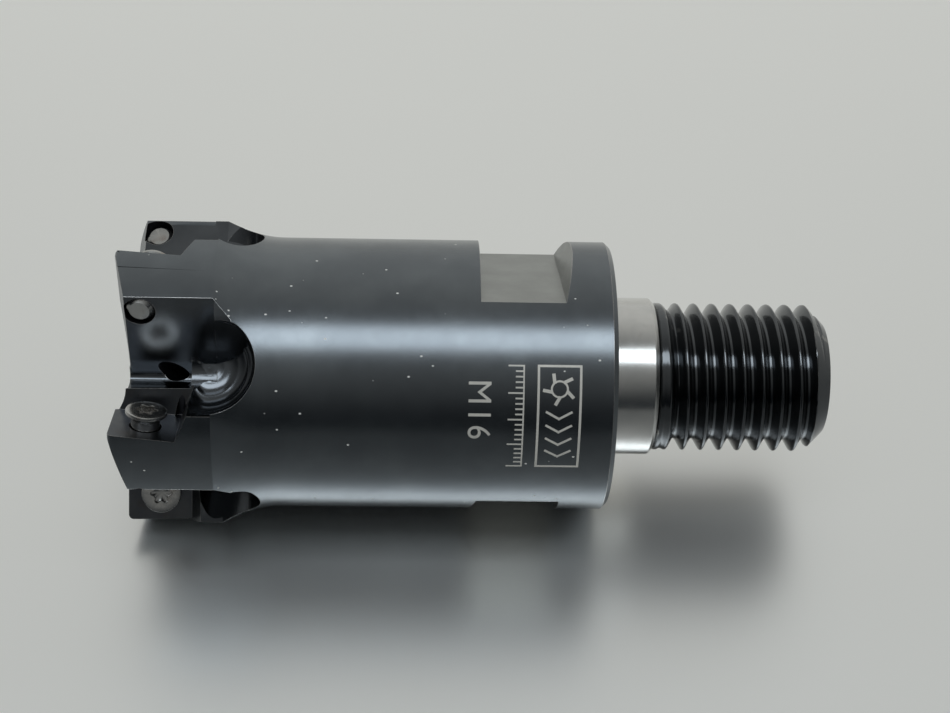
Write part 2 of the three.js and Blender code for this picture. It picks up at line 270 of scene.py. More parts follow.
@dataclass(frozen=True)
class SteelFinish:
    """A steel surface: plain, ground or blackened, with its wear, painted edge highlights and
    texture.

    Lengths are in millimetres on the real piece.
    """

    name: str
    colour: Colour
    cloud_colour: Colour
    roughness: float
    roughness_spread: float = 0.06
    metallic: float = 1.0
    grain: Grain = Grain.PLAIN
    line_spacing: float = 0.12
    line_depth: float = 0.15
    grit_depth: float = 0.12
    speck_share: float = 0.0
    # Pale colour on convex edges: wear on some finishes, and a painted highlight along the
    # thread's crests.
    edge_wear_and_highlight_colour: Colour = (0.5, 0.48, 0.45)
    edge_wear_and_highlight: float = 0.0
    stain_colour: Colour = (0.1, 0.07, 0.05)
    stain: float = 0.0

    def material(self) -> bpy.types.Material:
        """Builds the node material, or returns the one already built."""
        if self.name in BUILT:
            return BUILT[self.name]
        material = bpy.data.materials.new(self.name)
        BUILT[self.name] = material
        material.use_nodes = True
        book = NodeBook(material.node_tree)
        place = book.add("ShaderNodeTexCoord", None, None, "Object")
        scaled = {"operation": "SCALE"}
        here = book.add("ShaderNodeVectorMath", scaled, {0: place, "Scale": 1 / MM})
        cloud = self._noise(book, here, 0.16, 4.0, 0.6)
        smudge = self._noise(book, here, 0.55, 3.0, 0.55)
        grit = self._noise(book, here, 7.0, 2.0, 0.6)
        colour = book.mix(cloud.step(0.35, 0.72), self.colour, self.cloud_colour)
        rough = self.roughness + (smudge - 0.5) * (2 * self.roughness_spread)
        height = (grit - 0.5) * self.grit_depth
        if self.grain is not Grain.PLAIN:
            lines = self._lines(book, here)
            height = height + (lines - 0.5) * self.line_depth
            rough = rough + (lines - 0.5) * (self.roughness_spread * 0.8)
            colour = book.mix((lines - 0.5) * 0.35, colour, self.cloud_colour)
        if self.stain:
            mask = smudge.step(0.52, 0.7) * self.stain
            colour = book.mix(mask, colour, self.stain_colour)
        # Pointiness lightens convex edges in patches. On the thread finish this is a painted
        # highlight along the crests; on the screws it stands for wear.
        if self.edge_wear_and_highlight:
            bent = book.add("ShaderNodeNewGeometry", None, None, "Pointiness")
            edge_patches = self._noise(book, here, 2.2, 3.0, 0.6)
            worn = bent.step(0.53, 0.6) * edge_patches.step(0.35, 0.6) * self.edge_wear_and_highlight
            colour = book.mix(worn, colour, self.edge_wear_and_highlight_colour)
        metallic = self.metallic
        if self.speck_share:
            specks = self._specks(book, here)
            colour = book.mix(specks, colour, (0.75, 0.74, 0.7))
            rough = rough + specks * 0.35
            metallic = (1.0 - specks) * self.metallic
        bump = book.add(
            "ShaderNodeBump",
            None,
            {"Strength": 0.5, "Distance": 0.02 * MM, "Height": height},
        )
        shader = book.node(
            "ShaderNodeBsdfPrincipled",
            None,
            {
                "Base Color": colour,
                "Roughness": rough,
                "Metallic": metallic,
                "Normal": bump,
            },
        )
        book.node("ShaderNodeOutputMaterial", None, {"Surface": shader.outputs[0]})
        material.diffuse_color = (*self.colour, 1.0)
        return material

    @staticmethod
    def _noise(
        book: NodeBook, here: Value, scale: float, detail: float, rough: float
    ) -> Value:
        """A noise value at a scale given per millimetre."""
        inputs = {"Vector": here, "Scale": scale, "Detail": detail, "Roughness": rough}
        return book.add("ShaderNodeTexNoise", None, inputs)

    def _lines(self, book: NodeBook, here: Value) -> Value:
        """The value of the machining lines at each point."""
        x, y, z = book.split(here)
        if self.grain is Grain.TURNED:
            across = book.combine(x / self.line_spacing, y * 0.05, z * 0.05)
        else:
            sweep = (x * x + y * y * 0.7 + z * z * 0.4).function("SQRT")
            across = book.combine(sweep / self.line_spacing, 0.0, 0.0)
        return self._noise(book, across, 0.35, 2.0, 0.7)

    def _specks(self, book: NodeBook, here: Value) -> Value:
        """Sparse pale specks and lint, as a mask."""
        stretch = {"operation": "MULTIPLY"}
        inputs = {0: here, 1: (0.75, 1.15, 1.0)}
        vector = book.add("ShaderNodeVectorMath", stretch, inputs)
        cells = book.node("ShaderNodeTexVoronoi", None, {"Vector": vector, "Scale": 1.1})
        near = Value(book, cells.outputs["Distance"]).step(0.14, 0.08)
        pick, _, _ = book.split(Value(book, cells.outputs["Color"]))
        return near * pick.step(1.0 - self.speck_share, 1.02 - self.speck_share)


@dataclass(frozen=True)
class BenchFinish:
    """The pale bench that the tool lies on: plain, with a soft metallic sheen."""

    name: str = "pale_bench"
    colour: Colour = (0.97, 0.97, 0.95)
    roughness: float = 0.34
    metallic: float = 0.97

    def material(self) -> bpy.types.Material:
        """Builds the bench material."""
        material = bpy.data.materials.new(self.name)
        material.use_nodes = True
        book = NodeBook(material.node_tree)
        place = book.add("ShaderNodeTexCoord", None, None, "Object")
        inputs = {"Vector": place, "Scale": 18.0, "Detail": 5.0}
        cloud = book.add("ShaderNodeTexNoise", None, inputs)
        rough = self.roughness + (cloud - 0.5) * 0.12
        shader = book.node(
            "ShaderNodeBsdfPrincipled",
            None,
            {
                "Base Color": self.colour,
                "Roughness": rough,
                "Metallic": self.metallic,
            },
        )
        book.node("ShaderNodeOutputMaterial", None, {"Surface": shader.outputs[0]})
        return material


OXIDE_BODY = SteelFinish(
    name="body_oxide",
    colour=(0.14, 0.153, 0.165),
    cloud_colour=(0.165, 0.18, 0.192),
    roughness=0.25,
    roughness_spread=0.03,
    grain=Grain.TURNED,
    line_spacing=0.1,
    line_depth=0.1,
    grit_depth=0.16,
    speck_share=0.1,
)
OXIDE_LAND = SteelFinish(
    name="land_oxide",
    colour=(0.1, 0.112, 0.125),
    cloud_colour=(0.13, 0.142, 0.155),
    roughness=0.33,
    grain=Grain.TURNED,
    grit_depth=0.16,
    speck_share=0.08,
)
OXIDE_GULLET = SteelFinish(
    name="gullet_oxide",
    colour=(0.09, 0.097, 0.105),
    cloud_colour=(0.12, 0.128, 0.138),
    roughness=0.19,
    grain=Grain.MILLED,
    line_spacing=0.25,
    line_depth=0.12,
    grit_depth=0.08,
)
OXIDE_SEAT = SteelFinish(
    name="seat_oxide",
    colour=(0.085, 0.09, 0.1),
    cloud_colour=(0.13, 0.135, 0.14),
    roughness=0.3,
    grain=Grain.MILLED,
    line_spacing=0.12,
    line_depth=0.14,
    stain=0.2,
)
OXIDE_HOLE = SteelFinish(
    name="hole_oxide",
    colour=(0.05, 0.053, 0.06),
    cloud_colour=(0.09, 0.09, 0.1),
    roughness=0.3,
)
OXIDE_FLAT = SteelFinish(
    name="flat_oxide",
    colour=(0.27, 0.275, 0.265),
    cloud_colour=(0.32, 0.325, 0.315),
    roughness=0.36,
    grain=Grain.MILLED,
    line_spacing=0.16,
    line_depth=0.2,
)
OXIDE_THREAD = SteelFinish(
    name="thread_oxide",
    colour=(0.085, 0.09, 0.095),
    cloud_colour=(0.11, 0.115, 0.12),
    roughness=0.16,
    roughness_spread=0.04,
    grit_depth=0.1,
    # Painted highlight: Pointiness pales the thread's crests.
    edge_wear_and_highlight=0.45,
)
WORN_EDGE = SteelFinish(
    name="edge_worn",
    colour=(0.42, 0.41, 0.4),
    cloud_colour=(0.17, 0.175, 0.18),
    roughness=0.28,
    roughness_spread=0.1,
    grit_depth=0.2,
)
GROUND_PILOT = SteelFinish(
    name="pilot_ground",
    colour=(0.64, 0.63, 0.61),
    cloud_colour=(0.54, 0.54, 0.525),
    roughness=0.2,
    roughness_spread=0.05,
    grain=Grain.TURNED,
    line_spacing=0.05,
    line_depth=0.16,
    grit_depth=0.06,
    stain=0.12,
    stain_colour=(0.36, 0.33, 0.3),
)
SCREW_STEEL = SteelFinish(
    name="screw_plain",
    colour=(0.5, 0.495, 0.48),
    cloud_colour=(0.38, 0.38, 0.37),
    roughness=0.25,
    roughness_spread=0.08,
    grit_depth=0.14,
    edge_wear_and_highlight=0.6,
    edge_wear_and_highlight_colour=(0.7, 0.68, 0.64),
    stain=0.45,
    stain_colour=(0.2, 0.13, 0.1),
)
LASER_MARK = SteelFinish(
    name="mark_laser",
    colour=(0.7, 0.67, 0.61),
    cloud_colour=(0.56, 0.54, 0.5),
    roughness=0.5,
    roughness_spread=0.1,
    metallic=0.3,
    grit_depth=0.2,
)


# ------------------------------------------------------------- shape helpers


@dataclass(frozen=True)
class Layout:
    """Where the tool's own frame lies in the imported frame."""

    shoulder_x: float
    axis_z: float

    @classmethod
    def from_frame(cls) -> "Layout":
        """Reads the shoulder's place and the axis height off the pilot collar."""
        low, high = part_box("pilot_collar")
        return cls(shoulder_x=low.x, axis_z=(low.z + high.z) / 2)

    def to_frame(self) -> Matrix:
        """The matrix from the tool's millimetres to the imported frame."""
        return Matrix.Translation((self.shoulder_x, 0, self.axis_z)) @ Matrix.Scale(MM, 4)


def turn(degrees: float) -> Matrix:
    """A rotation about the tool axis, from +Z towards -Y."""
    return Matrix.Rotation(math.radians(degrees), 4, "X")


def new_object(name: str, mesh: bpy.types.Mesh) -> bpy.types.Object:
    """Links a mesh to the scene as an object at the origin."""
    piece = bpy.data.objects.new(name, mesh)
    bpy.context.scene.collection.objects.link(piece)
    return piece


def mesh_object(name: str, build: bmesh.types.BMesh, finish: SteelFinish) -> bpy.types.Object:
    """Makes an object from a bmesh, with its faces turned outwards.

    Args:
        name: The object's name.
        build: The bmesh, which is freed.
        finish: The finish of every face.

    Returns:
        The new object.
    """
    bmesh.ops.recalc_face_normals(build, faces=build.faces[:])
    mesh = bpy.data.meshes.new(name)
    build.to_mesh(mesh)
    build.free()
    mesh.materials.append(finish.material())
    return new_object(name, mesh)


def lathe(
    name: str,
    profile: Sequence[Point2],
    steps: int,
    finish: SteelFinish,
) -> bpy.types.Object:
    """Turns a profile about the X axis.

    Args:
        name: The object's name.
        profile: Points (x, radius), whose first and last lie on the axis.
        steps: The number of facets round the axis.
        finish: The finish of every face.

    Returns:
        The closed turned body.
    """
    build = bmesh.new()
    rings = []
    for x, radius in profile:
        if radius < 1e-6:
            rings.append([build.verts.new((x, 0, 0))] * steps)
            continue
        ring = []
        for i in range(steps):
            angle = 2 * math.pi * i / steps
            point = (x, -radius * math.sin(angle), radius * math.cos(angle))
            ring.append(build.verts.new(point))
        rings.append(ring)
    for near, far in zip(rings, rings[1:]):
        for i in range(steps):
            j = (i + 1) % steps
            corners = [near[i], near[j], far[j], far[i]]
            unique = list(dict.fromkeys(corners))
            if len(unique) > 2:
                build.faces.new(unique)
    return mesh_object(name, build, finish)


def close_prism(
    build: bmesh.types.BMesh,
    near: Sequence[bmesh.types.BMVert],
    far: Sequence[bmesh.types.BMVert],
) -> None:
    """Makes the two end faces and the side faces between two equal outlines.

    Args:
        build: The bmesh that holds the vertices.
        near: The vertices of one end, in order round it.
        far: The vertices of the other end, in the same order.
    """
    build.faces.new(near)
    build.faces.new(far)
    for i in range(len(near)):
        j = (i + 1) % len(near)
        build.faces.new([near[i], near[j], far[j], far[i]])


def prism(
    name: str,
    outline: Sequence[Point2],
    low: float,
    high: float,
    finish: SteelFinish,
) -> bpy.types.Object:
    """Extrudes an outline along X.

    Args:
        name: The object's name.
        outline: Points (outward, behind) in the tooth frame.
        low: The lower end along X.
        high: The upper end along X.
        finish: The finish of every face.

    Returns:
        The closed prism.
    """
    build = bmesh.new()
    near = [build.verts.new((low, -behind, out)) for out, behind in outline]
    far = [build.verts.new((high, -behind, out)) for out, behind in outline]
    close_prism(build, near, far)
    return mesh_object(name, build, finish)


def arc(centre: Point2, radius: float, start: float, end: float, steps: int) -> list[Point2]:
    """Points along an arc.

    Args:
        centre: The arc's centre.
        radius: Its radius.
        start: The first angle, in degrees from the first axis to the second.
        end: The last angle.
        steps: The number of pieces.

    Returns:
        steps + 1 points.
    """
    points = []
    for i in range(steps + 1):
        angle = math.radians(start + (end - start) * i / steps)
        x = centre[0] + radius * math.cos(angle)
        y = centre[1] + radius * math.sin(angle)
        points.append((x, y))
    return points


def apply_modifiers(piece: bpy.types.Object) -> bpy.types.Object:
    """Replaces a piece's mesh with its evaluated result and drops the modifiers."""
    graph = bpy.context.evaluated_depsgraph_get()
    graph.update()
    mesh = bpy.data.meshes.new_from_object(piece.evaluated_get(graph))
    piece.modifiers.clear()
    piece.data = mesh
    return piece


def carve(
    target: bpy.types.Object,
    cutters: Sequence[bpy.types.Object],
    operation: str = "DIFFERENCE",
) -> bpy.types.Object:
    """Cuts or joins other solids, which are then removed.

    Args:
        target: The solid that changes.
        cutters: The solids to cut with or to join on.
        operation: DIFFERENCE or UNION.

    Returns:
        The target.
    """
    for cutter in cutters:
        modifier = target.modifiers.new("carve", "BOOLEAN")
        modifier.operation = operation
        modifier.object = cutter
        modifier.solver = "MANIFOLD"
        modifier.material_mode = "TRANSFER"
    apply_modifiers(target)
    for cutter in cutters:
        bpy.data.objects.remove(cutter)
    return target


def move(piece: bpy.types.Object, matrix: Matrix) -> bpy.types.Object:
    """Moves a piece by changing its mesh."""
    piece.data.transform(matrix)
    return piece


def break_edges(piece: bpy.types.Object, width: float, worn: SteelFinish) -> bpy.types.Object:
    """Bevels the sharp edges a little and gives the bevels a worn finish.

    Args:
        piece: The solid, in millimetres.
        width: The bevel's width.
        worn: The finish of the bevels.

    Returns:
        The piece.
    """
    build = bmesh.new()
    build.from_mesh(piece.data)
    bmesh.ops.remove_doubles(build, verts=build.verts[:], dist=0.004)
    bmesh.ops.dissolve_degenerate(build, edges=build.edges[:], dist=0.004)
    flat = math.radians(0.05)
    bmesh.ops.dissolve_limit(
        build, verts=build.verts[:], edges=build.edges[:], angle_limit=flat,
        delimit={"MATERIAL", "NORMAL"},
    )
    build.to_mesh(piece.data)
    build.free()
    slots = [slot.name for slot in piece.data.materials]
    if worn.name not in slots:
        piece.data.materials.append(worn.material())
        slots.append(worn.name)
    modifier = piece.modifiers.new("broken_edges", "BEVEL")
    modifier.width = width
    modifier.segments = 2
    modifier.limit_method = "ANGLE"
    modifier.angle_limit = math.radians(42)
    modifier.use_clamp_overlap = False
    modifier.material = slots.index(worn.name)
    modifier.miter_outer = "MITER_ARC"
    return apply_modifiers(piece)


def smooth(piece: bpy.types.Object, degrees: float) -> bpy.types.Object:
    """Smooth shading by face area, with edges over an angle kept sharp.

    Faces that lie on a cylinder about the tool axis get its exact normals, so
    that long cuts across them leave no lines.

    Args:
        piece: The piece, in the tool's millimetres.
        degrees: The angle over which an edge is shaded sharp.

    Returns:
        The piece.
    """
    piece.data.shade_smooth()
    piece.data.set_sharp_from_angle(angle=math.radians(degrees))
    modifier = piece.modifiers.new("even_shading", "WEIGHTED_NORMAL")
    modifier.keep_sharp = True
    apply_modifiers(piece)
    mesh = piece.data
    normals = [corner.vector.copy() for corner in mesh.corner_normals]
    for face in mesh.polygons:
        if mesh.materials[face.material_index].name != OXIDE_BODY.name:
            continue
        points = [mesh.vertices[i].co for i in face.vertices]
        radii = [math.hypot(point.y, point.z) for point in points]
        if min(radii) > 13.0 and max(radii) - min(radii) < 0.05:
            for corner, point in zip(face.loop_indices, points):
                normals[corner] = Vector((0.0, point.y, point.z)).normalized()
    mesh.normals_split_custom_set(normals)
    return piece


# --------------------------------------------------------- geometry programs


class Tree:
    """Base of the geometry programs: one node group with named inputs."""

    def __init__(self, name: str) -> None:
        """Makes the empty group.

        Args:
            name: The group's name.
        """
        self.group = bpy.data.node_groups.new(name, "GeometryNodeTree")
        self.book = NodeBook(self.group)
        self.ports: dict[str, str] = {}
        self._entry = self.book.node("NodeGroupInput")
        self._exit = self.book.node("NodeGroupOutput")
        self.group.interface.new_socket(
            "Geometry", in_out="OUTPUT", socket_type="NodeSocketGeometry"
        )

    def port(self, name: str, kind: str) -> Value:
        """Adds a named input.

        Args:
            name: The input's name.
            kind: Float, Int, Object, Material or Geometry.

        Returns:
            The value that enters there.
        """
        item = self.group.interface.new_socket(
            name, in_out="INPUT", socket_type="NodeSocket" + kind
        )
        self.ports[name] = item.identifier
        return Value(self.book, self._entry.outputs[name])

    def close(self, geometry: Value, finish: Value) -> None:
        """Ends the tree in Realize Instances and Set Material."""
        real = self.book.add("GeometryNodeRealizeInstances", None, {"Geometry": geometry})
        inputs = {"Geometry": real, "Material": finish}
        painted = self.book.add("GeometryNodeSetMaterial", None, inputs)
        self.book.feed(self._exit.inputs[0], painted)

    def run(self, name: str, values: dict[str, object]) -> bpy.types.Object:
        """Evaluates the tree into a plain mesh object.

        Args:
            name: The new object's name.
            values: Each named input's value.

        Returns:
            The new object, with no modifier on it.
        """
        piece = new_object(name, bpy.data.meshes.new(name))
        modifier = piece.modifiers.new(self.group.name, "NODES")
        modifier.node_group = self.group
        for key, value in values.items():
            modifier[self.ports[key]] = value
        return apply_modifiers(piece)


class RingOfCopies(Tree):
    """Copies one solid at equal angles round the tool axis."""

    def __init__(self) -> None:
        """Builds the tree."""
        super().__init__("ring_of_copies")
        solid = self.port("Solid", "Object")
        count = self.port("Count", "Int")
        first = self.port("First Angle", "Float")
        finish = self.port("Finish", "Material")
        book = self.book
        points = book.add("GeometryNodePoints", None, {"Count": count})
        index = book.add("GeometryNodeInputIndex")
        angle = first + index * (2 * math.pi) / count
        turned = book.add(
            "FunctionNodeEulerToRotation", None, {0: book.combine(angle, 0.0, 0.0)}
        )
        info = book.add("GeometryNodeObjectInfo", None, {"Object": solid}, "Geometry")
        inputs = {"Points": points, "Instance": info, "Rotation": turned}
        copies = book.add("GeometryNodeInstanceOnPoints", None, inputs)
        self.close(copies, finish)


class HelicalThread(Tree):
    """The skin of a threaded stud: rows that follow the helix, cut to length."""

    ROWS_PER_PITCH = 24
    CREST_SHARE = 0.055
    FLANK_SHARE = 0.36

    def __init__(self) -> None:
        """Builds the tree."""
        super().__init__("helical_thread")
        radius = self.port("Major Radius", "Float")
        pitch = self.port("Pitch", "Float")
        depth = self.port("Depth", "Float")
        start = self.port("Start", "Float")
        end = self.port("End", "Float")
        run_in = self.port("Run In", "Float")
        start_chamfer = self.port("Start Chamfer", "Float")
        end_chamfer = self.port("End Chamfer", "Float")
        crest = self.port("Crest Place", "Float")
        facets = self.port("Facets", "Int")
        core = self.port("Core", "Object")
        finish = self.port("Finish", "Material")
        book = self.book
        length = end - start + pitch * 2.0
        rows = (length / pitch * float(self.ROWS_PER_PITCH)).function("ROUND") + 1.0
        span = (rows - 1.0) / float(self.ROWS_PER_PITCH) * pitch
        inputs = {"Size X": span, "Size Y": 1.0, "Vertices X": rows, "Vertices Y": facets + 1.0}
        grid = book.add("GeometryNodeMeshGrid", None, inputs)
        across, around, _ = book.split(book.add("GeometryNodeInputPosition"))
        angle = (around + 0.5) * (2 * math.pi)
        helix = across + span * 0.5 + start - pitch
        along = helix + pitch * (around + 0.5)
        phase = (helix - crest) / pitch
        offset = (phase - phase.function("ROUND")).function("ABSOLUTE") * pitch
        flank = (offset - pitch * self.CREST_SHARE) / (pitch * self.FLANK_SHARE)
        flank = flank.function("SMOOTH_MAX", 0.0, 0.16).function("SMOOTH_MIN", 1.0, 0.2)
        kept = along.function("MAXIMUM", start).function("MINIMUM", end)
        grown = ((kept - start - run_in * 0.4) / run_in).function("MAXIMUM", 0.0)
        grown = grown.function("MINIMUM", 1.0)
        thread = radius - flank * depth * grown
        start_limit = radius - start_chamfer + (kept - start)
        end_limit = radius - end_chamfer + (end - kept)
        limit = start_limit.function("MINIMUM", end_limit)
        out = thread.function("MINIMUM", limit)
        place = book.combine(
            kept, -(out * angle.function("SINE")), out * angle.function("COSINE")
        )
        inputs = {"Geometry": grid, "Position": place}
        bent = book.add("GeometryNodeSetPosition", None, inputs)
        ends = book.add("GeometryNodeObjectInfo", None, {"Object": core}, "Geometry")
        whole = book.node("GeometryNodeJoinGeometry")
        for part in (bent, ends):
            book.feed(whole.inputs[0], part)
        inputs = {"Geometry": Value(book, whole.outputs[0]), "Distance": 0.004}
        sewn = book.add("GeometryNodeMergeByDistance", None, inputs)
        self.close(sewn, finish)


class WrapOnNeck(Tree):
    """Bends a flat mark round the tool axis: X stays, Y runs round, Z is height."""

    def __init__(self) -> None:
        """Builds the tree."""
        super().__init__("wrap_on_neck")
        mark = self.port("Mark", "Object")
        radius = self.port("Radius", "Float")
        angle = self.port("Angle", "Float")
        finish = self.port("Finish", "Material")
        book = self.book
        flat = book.add("GeometryNodeObjectInfo", None, {"Object": mark}, "Geometry")
        fine = book.add("GeometryNodeSubdivideMesh", None, {"Mesh": flat, "Level": 2})
        x, y, z = book.split(book.add("GeometryNodeInputPosition"))
        turned = angle + y / radius
        out = radius + z
        place = book.combine(
            x, -(out * turned.function("SINE")), out * turned.function("COSINE")
        )
        inputs = {"Geometry": fine, "Position": place}
        bent = book.add("GeometryNodeSetPosition", None, inputs)
        self.close(bent, finish)


class SeatedScrew(Tree):
    """Sets one screw into the seat at a given angle."""

    def __init__(self) -> None:
        """Builds the tree."""
        super().__init__("seated_screw")
        screw = self.port("Screw", "Object")
        angle = self.port("Seat Angle", "Float")
        place = [self.port(name, "Float") for name in ("Along", "Behind", "Outward")]
        rake = self.port("Axial Rake", "Float")
        finish = self.port("Finish", "Material")
        book = self.book
        info = book.add("GeometryNodeObjectInfo", None, {"Object": screw}, "Geometry")
        leaned = book.add(
            "GeometryNodeTransform",
            None,
            {
                "Geometry": info,
                "Translation": book.combine(place[0], -place[1], place[2]),
                "Rotation": book.combine(0.0, 0.0, -rake),
            },
        )
        inputs = {"Geometry": leaned, "Rotation": book.combine(angle, 0.0, 0.0)}
        turned = book.add("GeometryNodeTransform", None, inputs)
        self.close(turned, finish)


# -------------------------------------------------------------- the assemblies


class Assembly:
    """Base of the sub-assemblies: places finished meshes in the frame."""

    def finish(
        self,
        piece: bpy.types.Object,
        layout: Layout,
        body: str,
        slot: str,
        nodes: Sequence[str] = (),
        sharp: float = 30.0,
    ) -> bpy.types.Object:
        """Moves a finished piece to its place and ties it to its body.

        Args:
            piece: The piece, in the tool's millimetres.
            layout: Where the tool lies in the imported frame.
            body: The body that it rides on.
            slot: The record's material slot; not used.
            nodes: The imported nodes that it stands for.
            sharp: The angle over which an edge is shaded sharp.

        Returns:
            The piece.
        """
        smooth(piece, sharp)
        move(piece, layout.to_frame())
        if nodes:
            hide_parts(*nodes)
        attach(piece, body)
        log.info("%s: %d faces", piece.name, len(piece.data.polygons))
        return piece


@dataclass(frozen=True)
class Seat:
    """The raked floor that an insert would sit on, in the tooth's own frame."""

    front_x: float = -51.6
    screw_setback: float = 3.5
    floor_setback: float = 0.46
    axial_rake: float = 6.0
    inner_radius: float = 9.95
    axial_length: float = 6.8
    back_wall_lean: float = 12.0
    axial_wall_lean: float = 17.0
    screw_radius_out: float = 13.3

    def to_tooth(self) -> Matrix:
        """The matrix from the flat floor to the raked floor in the tooth."""
        along = Matrix.Translation((-self.screw_setback, 0, 0))
        rake = Matrix.Rotation(math.radians(-self.axial_rake), 4, "Z")
        back = Matrix.Translation(
            (self.front_x + self.screw_setback, -self.floor_setback, 0)
        )
        return back @ rake @ along


@dataclass
class CutterBody(Assembly):
    """The toothed head and the round neck, turned and milled from one bar."""

    seat: Seat = Seat()
    land_end_x: float = -41.2
    land_radius: float = 16.4
    neck_radius: float = 14.5
    pilot_radius: float = 8.5
    fillet_radius: float = 12.0
    bore_radius: float = 2.5
    front_recess: float = 1.3
    corner_round: float = 0.55
    shoulder_chamfer: float = 0.5
    undercut_width: float = 0.8
    undercut_depth: float = 0.3
    leading_offset: float = 2.0
    trailing_offsets: tuple[float, ...] = (6.9, 6.2, 6.9, 6.4, 6.4)
    gullet_fillet: float = 2.4
    slot_fillet: float = 0.8
    slot_end_x: float = -43.8
    bowl_radius: float = 5.2
    bowl_x: float = -42.0
    bowl_floor: float = 8.9
    bowl_wall: float = 12.4
    bowl_angle: float = -26.0
    bowl_front_share: float = 0.6
    bowl_ridges: int = 5
    ridge_height: float = 0.09
    facet_run: float = 1.8
    facet_width: float = 1.3
    facet_depth: float = 2.4
    facet_span: Point2 = (11.0, 18.0)
    outlet_radius: float = 1.0
    outlet_angle: float = -22.5
    outlet_start_x: float = -37.7
    outlet_end: Point2 = (-47.1, 9.6)
    outlet_overrun: float = 2.5
    hole_radius: float = 1.65
    hole_span: Point2 = (-9.0, 1.0)
    corner_relief_radius: float = 0.55
    corner_relief_span: Point2 = (-0.1, 3.3)
    pocket_height: float = 4.6
    pocket_width: float = 9.0
    pocket_reach: float = 10.8
    trailing_chamfer: float = 0.6
    trailing_slope: float = 0.42
    trailing_end_x: float = -42.6
    end_relief: float = 14.0
    end_relief_size: tuple[float, float, float] = (6.0, 12.0, 12.0)
    end_relief_drop: float = 4.2
    bore_end_x: float = -38.5
    flat_half_width: float = 11.0
    flat_start_x: float = -14.05
    flat_end_x: float = -5.3
    flat_lean: float = 17.0
    flat_angle: float = -30.7
    facets: int = 288
    edge_width: float = 0.032

    def blank(self) -> bpy.types.Object:
        """The turned blank, from the recessed front to the shoulder."""
        front = self.seat.front_x
        inner = self.seat.inner_radius
        profile = [(front + self.front_recess, 0.0)]
        profile += [(front + self.front_recess, inner - 0.35), (front, inner + 0.15)]
        corner = (front + self.corner_round, self.land_radius - self.corner_round)
        profile += arc(corner, self.corner_round, 180, 90, 6)
        drop = self.land_radius - self.neck_radius
        sweep = math.acos(1 - drop / self.fillet_radius)
        run = self.fillet_radius * math.sin(sweep)
        for i in range(25):
            angle = sweep * (1 - i / 24)
            x = self.land_end_x + run - self.fillet_radius * math.sin(angle)
            radius = self.neck_radius + self.fillet_radius * (1 - math.cos(angle))
            profile.append((x, radius))
        chamfer = self.shoulder_chamfer
        ring = self.pilot_radius + self.undercut_width
        profile += [(-chamfer, self.neck_radius), (0.0, self.neck_radius - chamfer)]
        profile += [(0.0, ring), (-self.undercut_depth, ring - 0.1)]
        profile += [(-self.undercut_depth, self.pilot_radius), (0.0, self.pilot_radius)]
        profile.append((0.0, 0.0))
        return lathe("tool_body", profile, self.facets, OXIDE_BODY)

    def gullet(self, tooth: int, fillet: float, end_x: float) -> bpy.types.Object:
        """One gullet: a wedge between two flanks with a rounded bottom.

        Args:
            tooth: The tooth whose seat the gullet opens.
            fillet: The radius at the bottom.
            end_x: Where it ends along the axis.

        Returns:
            The cutter, turned to its place.
        """
        trailing_offset = self.trailing_offsets[(tooth - 1) % TEETH]
        trailing = math.radians(-TOOTH_PITCH)
        tilt = math.pi / 2 + trailing
        along = (trailing_offset + self.leading_offset * math.sin(tilt)) / math.cos(tilt)
        vertex = Vector((along, -self.leading_offset))
        tangent = fillet / math.tan(math.radians(TOOTH_PITCH / 2))
        lead = Vector((1, 0))
        trail = Vector((math.cos(trailing), math.sin(trailing)))
        centre = vertex + lead * tangent - Vector((0, fillet))
        touch = vertex + trail * tangent - centre
        end = math.degrees(math.atan2(touch.y, touch.x)) + 360
        reach = 14.0
        outline = [tuple(vertex + lead * reach)]
        outline += arc(tuple(centre), fillet, 90, end, 14)
        outline.append(tuple(vertex + trail * reach))
        front = self.seat.front_x - 3
        wedge = prism("gullet", outline, front, end_x, OXIDE_GULLET)
        return move(wedge, turn(FIRST_SEAT_ANGLE + tooth * TOOTH_PITCH))

    def bowl(self, tooth: int) -> bpy.types.Object:
        """The gullet's closing bowl, with the ridges left by a round-nosed end mill.

        Args:
            tooth: The tooth whose seat the gullet opens.

        Returns:
            The cutter, kept clear of the tooth ahead and turned to its place.
        """
        outside = self.land_radius + 2
        points = [(self.bowl_floor, 0.0)]
        drop = self.bowl_wall - self.bowl_floor
        steps = 60
        for i in range(1, steps + 1):
            lean = math.pi / 2 * i / steps
            ridge = 1 - abs(math.sin(math.pi * self.bowl_ridges * i / steps))
            share = 1 - self.ridge_height * ridge / self.bowl_radius
            height = self.bowl_wall - drop * math.cos(lean) * share
            points.append((height, self.bowl_radius * math.sin(lean) * share))
        points += [(outside, self.bowl_radius), (outside, 0.0)]
        dish = lathe("bowl", points, 80, OXIDE_GULLET)
        move(dish, Matrix.Rotation(math.radians(-90), 4, "Y"))
        for vertex in dish.data.vertices:
            if vertex.co.x < 0:
                vertex.co.x *= self.bowl_front_share
        place = Matrix.Translation((self.bowl_x, 0, 0))
        move(dish, turn(self.bowl_angle + TOOTH_PITCH) @ place)
        limit = -self.trailing_offsets[(tooth - 1) % TEETH] - 0.01
        for vertex in dish.data.vertices:
            vertex.co.y = min(vertex.co.y, limit)
        return move(dish, turn(FIRST_SEAT_ANGLE + (tooth - 1) * TOOTH_PITCH))

